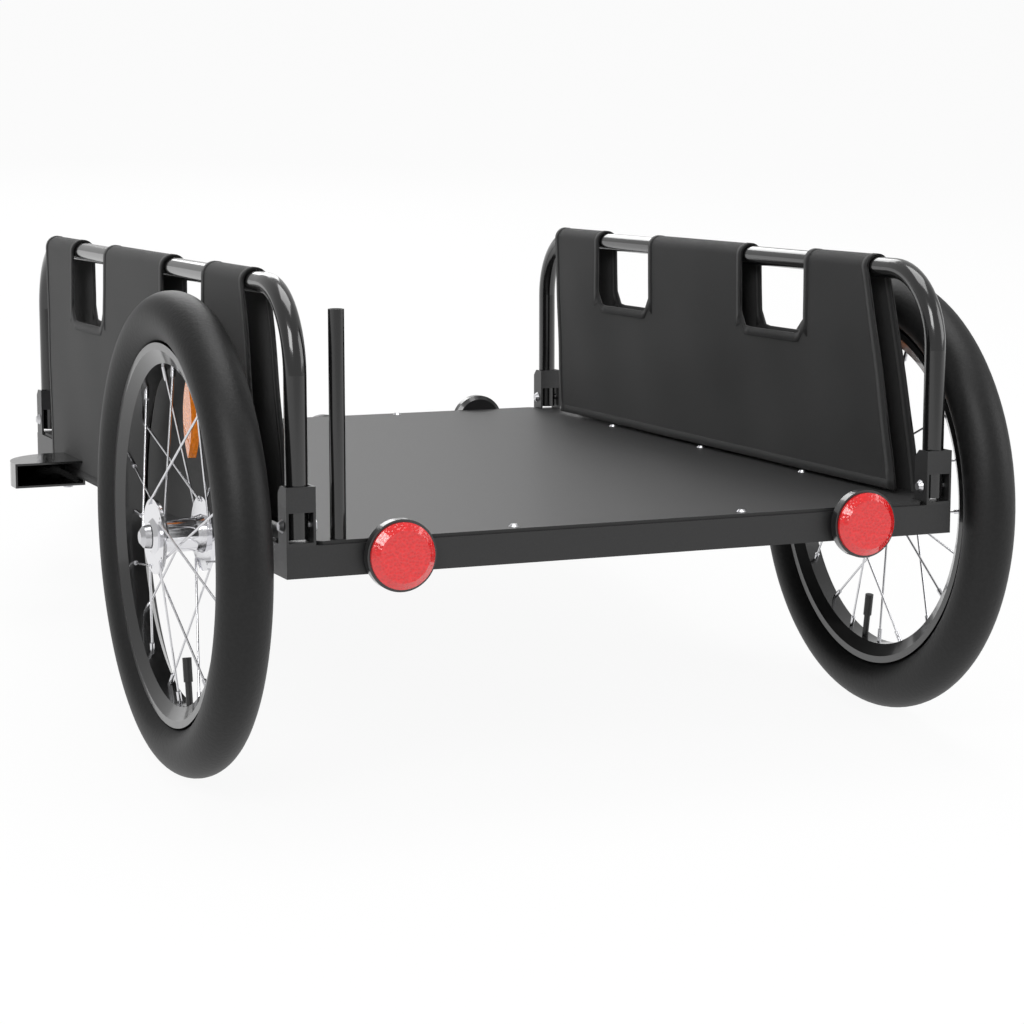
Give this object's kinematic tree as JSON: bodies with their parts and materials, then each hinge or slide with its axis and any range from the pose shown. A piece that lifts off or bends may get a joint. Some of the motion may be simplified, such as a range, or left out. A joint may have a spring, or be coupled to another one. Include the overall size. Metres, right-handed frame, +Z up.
{
  "type": "bicycle cargo trailer",
  "caption": "Flat two-wheeled bicycle cargo trailer with a deck between tube side rails, fabric side panels, spoked wheels, reflectors and a drawbar hitch.",
  "frame": {"origin": "on the floor under the middle of the parked trailer's bounding box", "axes": "+X to the trailer's right, +Y forward along it, +Z up; parked nose down on its wheels and hitch"},
  "size_m": [0.734, 1.3911, 0.4276],
  "materials": {
    "tyre_rubber": "worn matt",
    "spoke_steel": "bright",
    "hub_metal": "polished",
    "rim_black": "gloss",
    "valve_cap": "matt",
    "amber_lens": "prismatic",
    "red_lens": "prismatic",
    "clear_lens": "prismatic",
    "reflector_housing": "gloss",
    "panel_fabric": "woven, coated",
    "deck_sheet": "satin",
    "zinc_steel": "zinc plated",
    "axle_steel": "bright",
    "bracket_steel": "satin powder coat",
    "black_tube": "gloss",
    "frame_paint": "satin powder coat"
  },
  "bodies": {
    "trailer": {"axle_left": "axle_steel", "axle_right": "axle_steel", "axle_tube": "frame_paint", "bracket_bolts": "zinc_steel", "corner_gusset": "black_tube", "deck_panel": "deck_sheet", "deck_screws": "zinc_steel", "drawbar": "black_tube", "drawbar_bolt": "zinc_steel", "flagpole_holder": "black_tube", "front_member": "frame_paint", "front_reflector_left_housing": "reflector_housing", "front_reflector_left_lens": "clear_lens", "front_reflector_middle_housing": "reflector_housing", "front_reflector_middle_lens": "clear_lens", "front_reflector_right_housing": "reflector_housing", "front_reflector_right_lens": "clear_lens", "hitch_fork": "black_tube", "hitch_pin": "zinc_steel", "middle_member": "frame_paint", "rail_bracket_front_left": "bracket_steel", "rail_bracket_front_right": "bracket_steel", "rail_bracket_rear_left": "bracket_steel", "rail_bracket_rear_right": "bracket_steel", "rail_left": "black_tube", "rail_right": "black_tube", "rear_member": "frame_paint", "rear_reflector_left_housing": "reflector_housing", "rear_reflector_left_lens": "red_lens", "rear_reflector_right_housing": "reflector_housing", "rear_reflector_right_lens": "red_lens", "side_bracket": "black_tube", "side_member_left": "frame_paint", "side_member_right": "frame_paint", "side_panel_left": "panel_fabric", "side_panel_right": "panel_fabric"},
    "wheel_left": {"hub_left": "hub_metal", "rim_left": "rim_black", "spokes_left": "spoke_steel", "tyre_left": "tyre_rubber", "valve_left": "valve_cap", "wheel_reflector_left": "amber_lens"},
    "wheel_right": {"hub_right": "hub_metal", "rim_right": "rim_black", "spokes_right": "spoke_steel", "tyre_right": "tyre_rubber", "valve_right": "valve_cap", "wheel_reflector_right": "amber_lens"},
    "hitch": {"hitch_coupler": "black_tube"}
  },
  "joints": [
    {"name": "wheel_left_spin", "type": "hinge", "parent": "trailer", "child": "wheel_left", "pos_m": [-0.3335, -0.49557, 0.2], "axis": [1, 0, 0], "continuous": true},
    {"name": "wheel_right_spin", "type": "hinge", "parent": "trailer", "child": "wheel_right", "pos_m": [0.3335, -0.49557, 0.2], "axis": [1, 0, 0], "continuous": true},
    {"name": "hitch_swivel", "type": "hinge", "parent": "trailer", "child": "hitch", "pos_m": [-0.0637, 0.60909, 0.02587], "axis": [0.0278, 0.1672, 0.9855], "range_deg": [-80, 35]}
  ]
}
